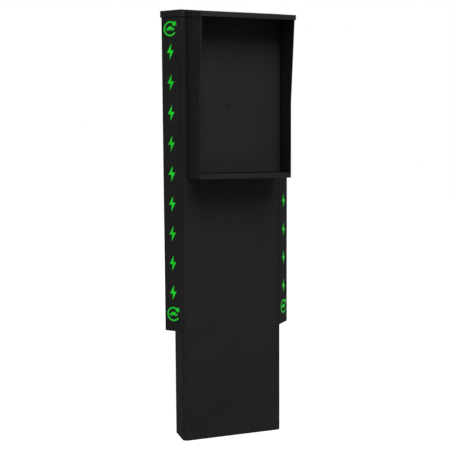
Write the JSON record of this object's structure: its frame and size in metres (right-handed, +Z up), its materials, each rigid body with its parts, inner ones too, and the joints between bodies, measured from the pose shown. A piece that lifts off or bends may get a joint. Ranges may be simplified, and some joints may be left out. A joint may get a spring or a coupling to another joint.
{
  "type": "ev charging post",
  "caption": "Free-standing black sheet-steel post that holds a car charger under a rain hood, with lit side boxes and a locked rear service door.",
  "frame": {"origin": "on the ground under the middle of the column, the centre of the four anchor holes", "axes": "+Z up, the hood and charger plate face -Y, the service door is on the +Y side, +X is to the right when facing +Y"},
  "size_m": [0.4826, 0.2926, 1.526],
  "materials": {
    "black_powder_coat": "matt fine-texture black powder coat on sheet steel",
    "green_acrylic": "translucent green acrylic sheet, lit from behind",
    "anodised_aluminium": "clear anodised extrusion",
    "lamp_board": "white solder mask with lamp chips",
    "black_screws": "black-coated stainless button heads",
    "zinc_steel": "bright zinc plated steel",
    "black_rubber": "EPDM rubber",
    "foam_rubber": "closed-cell foam rubber",
    "nylon": "black nylon moulding",
    "device_grey": "light grey moulded housing",
    "toggle_black": "black moulded lever",
    "terminal_grey": "grey polyamide",
    "lock_zinc": "chromed zinc die casting"
  },
  "bodies": {
    "post": {"column_shell": "black_powder_coat", "base_plate": "black_powder_coat", "base_gussets": "black_powder_coat", "hood_shell": "black_powder_coat", "charger_plate": "black_powder_coat", "roof_cap": "black_powder_coat", "rear_sill": "black_powder_coat", "rear_panel": "black_powder_coat", "door_frame": "black_powder_coat", "hinge_brackets": "black_powder_coat", "wing_panel_left": "black_powder_coat", "wing_cover_left": "black_powder_coat", "wing_floor_left": "black_powder_coat", "icon_diffuser_left": "green_acrylic", "led_channel_left": "anodised_aluminium", "led_strip_left": "lamp_board", "wing_panel_right": "black_powder_coat", "wing_cover_right": "black_powder_coat", "wing_floor_right": "black_powder_coat", "icon_diffuser_right": "green_acrylic", "led_channel_right": "anodised_aluminium", "led_strip_right": "lamp_board", "cover_screws": "black_screws", "panel_screws": "black_screws", "roof_screws": "black_screws", "wall_screws": "black_screws", "plate_studs": "zinc_steel", "plate_nuts": "zinc_steel", "earth_stud": "zinc_steel", "din_rail": "zinc_steel", "rail_spacers": "zinc_steel", "cable_rail": "zinc_steel", "column_grommet": "black_rubber", "plate_grommet": "black_rubber", "wire_grommets": "black_rubber", "cable_saddles": "nylon", "safety_breaker": "device_grey", "lamp_driver": "device_grey", "terminal_blocks": "terminal_grey", "end_clamps": "terminal_grey"},
    "door": {"rear_door": "black_powder_coat", "door_gasket": "foam_rubber", "door_stiffener": "zinc_steel", "hinge_pins": "zinc_steel", "lock_barrel_lower": "lock_zinc", "lock_barrel_upper": "lock_zinc"},
    "lock_lower": {"lock_core_lower": "lock_zinc", "lock_cam_lower": "zinc_steel"},
    "lock_upper": {"lock_core_upper": "lock_zinc", "lock_cam_upper": "zinc_steel"},
    "toggle": {"breaker_toggle": "toggle_black"}
  },
  "joints": [
    {"name": "door_hinge", "type": "hinge", "parent": "post", "child": "door", "pos_m": [-0.154, 0.044, 0.49], "axis": [0, 0, 1], "range_deg": [0, 110]},
    {"name": "lock_lower_turn", "type": "hinge", "parent": "door", "child": "lock_lower", "pos_m": [0.096, 0.052, 0.24], "axis": [0, 1, 0], "range_deg": [0, 90]},
    {"name": "lock_upper_turn", "type": "hinge", "parent": "door", "child": "lock_upper", "pos_m": [0.096, 0.052, 0.74], "axis": [0, 1, 0], "range_deg": [0, 90]},
    {"name": "breaker_toggle_turn", "type": "hinge", "parent": "post", "child": "toggle", "pos_m": [-0.052, 0.0167, 0.6], "axis": [1, 0, 0], "range_deg": [-90, 0]}
  ]
}
